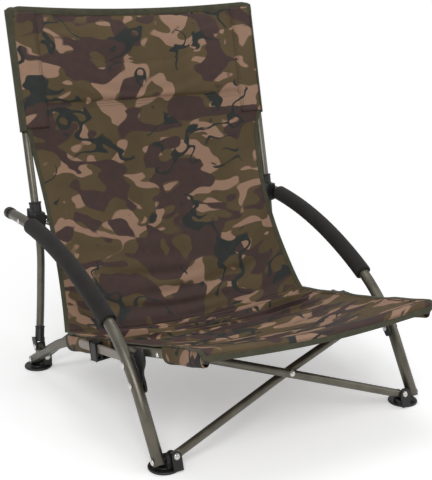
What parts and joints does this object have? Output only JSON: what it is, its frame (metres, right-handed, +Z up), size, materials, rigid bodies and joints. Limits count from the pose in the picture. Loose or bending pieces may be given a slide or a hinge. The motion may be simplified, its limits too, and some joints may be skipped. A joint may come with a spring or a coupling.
{
  "type": "low folding carp fishing chair",
  "caption": "Low folding fishing chair with bent arm tubes, crossed tubes front and rear, round swivel feet and a camouflage sling for seat and back.",
  "frame": {"origin": "middle of the chair's width and depth, on the floor under the feet", "axes": "+X to the chair's right as seen from the front, +Y to the rear, +Z up"},
  "size_m": [0.645, 0.7332, 0.7512],
  "materials": {
    "tube_gunmetal": "semi-gloss metallic olive-grey powder coat on steel tube",
    "black_plastic": "satin moulded nylon",
    "rivet_nickel": "bright nickel plate",
    "grip_foam": "matt closed-cell foam",
    "bar_grey_brown": "semi-gloss grey-brown paint on flat tube",
    "camouflage_cloth": "coated woven polyester with a woodland pattern of olive, tan, plum and slate"
  },
  "bodies": {
    "front_foot_left": {"front_foot_left": "black_plastic", "front_foot_rivet_left": "rivet_nickel", "leg_rivet_left": "rivet_nickel"},
    "front_cross_left": {"front_cross_tube_left": "tube_gunmetal", "front_crossing_rivet": "rivet_nickel"},
    "arm_left": {"arm_tube_left": "tube_gunmetal", "arm_end_cap_left": "black_plastic", "foam_grip_left": "grip_foam", "leg_bracket_left": "black_plastic", "bracket_rivet_1_left": "rivet_nickel", "bracket_rivet_2_left": "rivet_nickel", "arm_rivet_left": "rivet_nickel"},
    "prop_left": {"prop_left": "bar_grey_brown", "prop_saddle_left": "black_plastic"},
    "knuckle_left": {"rail_knuckle_left": "black_plastic", "knuckle_rivet_left": "rivet_nickel", "rail_pivot_left": "rivet_nickel"},
    "rail_left": {"side_rail_left": "tube_gunmetal", "ferrule_rivet_left": "rivet_nickel", "sling_seat": "camouflage_cloth"},
    "pole_left": {"back_pole_left": "tube_gunmetal", "pole_ferrule_left": "black_plastic", "sling_back": "camouflage_cloth", "headrest_pad": "camouflage_cloth"},
    "collar_left": {"collar_left": "black_plastic"},
    "rear_foot_left": {"rear_foot_left": "black_plastic", "rail_rivet_left": "rivet_nickel", "rear_foot_rivet_left": "rivet_nickel"},
    "rear_cross_left": {"rear_cross_tube_left": "tube_gunmetal", "rear_crossing_rivet": "rivet_nickel", "collar_rivet_right": "rivet_nickel"},
    "front_foot_right": {"front_foot_right": "black_plastic", "front_foot_rivet_right": "rivet_nickel", "leg_rivet_right": "rivet_nickel"},
    "front_cross_right": {"front_cross_tube_right": "tube_gunmetal"},
    "arm_right": {"arm_tube_right": "tube_gunmetal", "arm_end_cap_right": "black_plastic", "foam_grip_right": "grip_foam", "leg_bracket_right": "black_plastic", "bracket_rivet_1_right": "rivet_nickel", "bracket_rivet_2_right": "rivet_nickel", "arm_rivet_right": "rivet_nickel"},
    "prop_right": {"prop_right": "bar_grey_brown", "prop_saddle_right": "black_plastic"},
    "knuckle_right": {"rail_knuckle_right": "black_plastic", "knuckle_rivet_right": "rivet_nickel", "rail_pivot_right": "rivet_nickel"},
    "rail_right": {"side_rail_right": "tube_gunmetal", "ferrule_rivet_right": "rivet_nickel"},
    "pole_right": {"back_pole_right": "tube_gunmetal", "pole_ferrule_right": "black_plastic"},
    "collar_right": {"collar_right": "black_plastic"},
    "rear_foot_right": {"rear_foot_right": "black_plastic", "rail_rivet_right": "rivet_nickel", "rear_foot_rivet_right": "rivet_nickel"},
    "rear_cross_right": {"rear_cross_tube_right": "tube_gunmetal", "rear_crossing_stud": "rivet_nickel", "collar_rivet_left": "rivet_nickel"}
  },
  "joints": [
    {"name": "fold", "type": "hinge", "parent": "front_foot_left", "child": "front_cross_left", "pos_m": [-0.2545, -0.28222, 0.023], "axis": [0, -0.95, 0.3123], "range_deg": [0, 48], "deforming": ["sling_seat", "sling_back", "headrest_pad"]},
    {"name": "front_scissor", "type": "hinge", "parent": "front_cross_left", "child": "front_cross_right", "pos_m": [0, -0.25339, 0.1107], "axis": [0, -0.95, 0.3123], "range_deg": [-96.05, 0]},
    {"name": "front_foot_turn_right", "type": "hinge", "parent": "front_cross_right", "child": "front_foot_right", "pos_m": [0.2545, -0.28222, 0.023], "axis": [0, -0.95, 0.3123], "range_deg": [0, 48.05]},
    {"name": "knuckle_turn_right", "type": "hinge", "parent": "front_cross_left", "child": "knuckle_right", "pos_m": [0.231, -0.22722, 0.1903], "axis": [0, -0.95, 0.3123], "range_deg": [-48.05, 0]},
    {"name": "knuckle_turn_left", "type": "hinge", "parent": "front_cross_right", "child": "knuckle_left", "pos_m": [-0.231, -0.22722, 0.1903], "axis": [0, -0.95, 0.3123], "range_deg": [0, 48.05]},
    {"name": "rail_turn_left", "type": "hinge", "parent": "knuckle_left", "child": "rail_left", "pos_m": [-0.2501, -0.22722, 0.1903], "axis": [0.9939, 0.1103, 0], "range_deg": [-56.49, 0]},
    {"name": "arm_turn_left", "type": "hinge", "parent": "front_foot_left", "child": "arm_left", "pos_m": [-0.28366, -0.28022, 0.02], "axis": [0.9991, 0.042, 0], "range_deg": [0, 34.36]},
    {"name": "prop_turn_left", "type": "hinge", "parent": "arm_left", "child": "prop_left", "pos_m": [-0.26507, -0.17894, 0.16169], "axis": [0.9991, 0.042, 0], "range_deg": [-5.23, 0]},
    {"name": "rear_foot_turn_left", "type": "hinge", "parent": "rail_left", "child": "rear_foot_left", "pos_m": [-0.30393, 0.25778, 0.018], "axis": [0.9939, 0.1103, 0], "range_deg": [0, 56.49]},
    {"name": "rear_cross_turn_left", "type": "hinge", "parent": "rear_foot_left", "child": "rear_cross_left", "pos_m": [-0.278, 0.25178, 0.024], "axis": [0, -1, 0], "range_deg": [0, 44.63]},
    {"name": "pole_turn_left", "type": "hinge", "parent": "rail_left", "child": "pole_left", "pos_m": [-0.30038, 0.22578, 0.0595], "axis": [0.9939, 0.1103, 0], "range_deg": [0, 69.05]},
    {"name": "collar_slide_left", "type": "slide", "parent": "pole_left", "child": "collar_left", "axis": [0, 0.2453, 0.9694], "range_m": [0, 0.2887]},
    {"name": "rail_turn_right", "type": "hinge", "parent": "knuckle_right", "child": "rail_right", "pos_m": [0.2501, -0.22722, 0.1903], "axis": [0.9939, -0.1103, 0], "range_deg": [-56.49, 0]},
    {"name": "arm_turn_right", "type": "hinge", "parent": "front_foot_right", "child": "arm_right", "pos_m": [0.28366, -0.28022, 0.02], "axis": [0.9991, -0.042, 0], "range_deg": [0, 34.36]},
    {"name": "prop_turn_right", "type": "hinge", "parent": "arm_right", "child": "prop_right", "pos_m": [0.26507, -0.17894, 0.16169], "axis": [0.9991, -0.042, 0], "range_deg": [-5.23, 0]},
    {"name": "rear_foot_turn_right", "type": "hinge", "parent": "rail_right", "child": "rear_foot_right", "pos_m": [0.30393, 0.25778, 0.018], "axis": [0.9939, -0.1103, 0], "range_deg": [0, 56.49]},
    {"name": "rear_cross_turn_right", "type": "hinge", "parent": "rear_foot_right", "child": "rear_cross_right", "pos_m": [0.278, 0.25178, 0.024], "axis": [0, 1, 0], "range_deg": [0, 44.63]},
    {"name": "pole_turn_right", "type": "hinge", "parent": "rail_right", "child": "pole_right", "pos_m": [0.30038, 0.22578, 0.0595], "axis": [0.9939, -0.1103, 0], "range_deg": [0, 69.05]},
    {"name": "collar_slide_right", "type": "slide", "parent": "pole_right", "child": "collar_right", "axis": [0, 0.2453, 0.9694], "range_m": [0, 0.2887]}
  ],
  "couplings": [
    {"joint": "front_scissor", "follows": "fold", "ratio": -2},
    {"joint": "front_foot_turn_right", "follows": "fold", "ratio": 1},
    {"joint": "knuckle_turn_right", "follows": "fold", "ratio": -1},
    {"joint": "knuckle_turn_left", "follows": "fold", "ratio": 1},
    {"joint": "rail_turn_left", "follows": "fold", "ratio": -1.1758},
    {"joint": "arm_turn_left", "follows": "fold", "ratio": 0.7148},
    {"joint": "prop_turn_left", "follows": "fold", "ratio": -0.108},
    {"joint": "rear_foot_turn_left", "follows": "fold", "ratio": 1.1758},
    {"joint": "rear_cross_turn_left", "follows": "fold", "ratio": 0.9287},
    {"joint": "pole_turn_left", "follows": "fold", "ratio": 1.4376},
    {"joint": "collar_slide_left", "follows": "fold", "m_per_rad": 0.34396},
    {"joint": "rail_turn_right", "follows": "fold", "ratio": -1.1758},
    {"joint": "arm_turn_right", "follows": "fold", "ratio": 0.7148},
    {"joint": "prop_turn_right", "follows": "fold", "ratio": -0.108},
    {"joint": "rear_foot_turn_right", "follows": "fold", "ratio": 1.1758},
    {"joint": "rear_cross_turn_right", "follows": "fold", "ratio": 0.9287},
    {"joint": "pole_turn_right", "follows": "fold", "ratio": 1.4376},
    {"joint": "collar_slide_right", "follows": "fold", "m_per_rad": 0.34396}
  ]
}
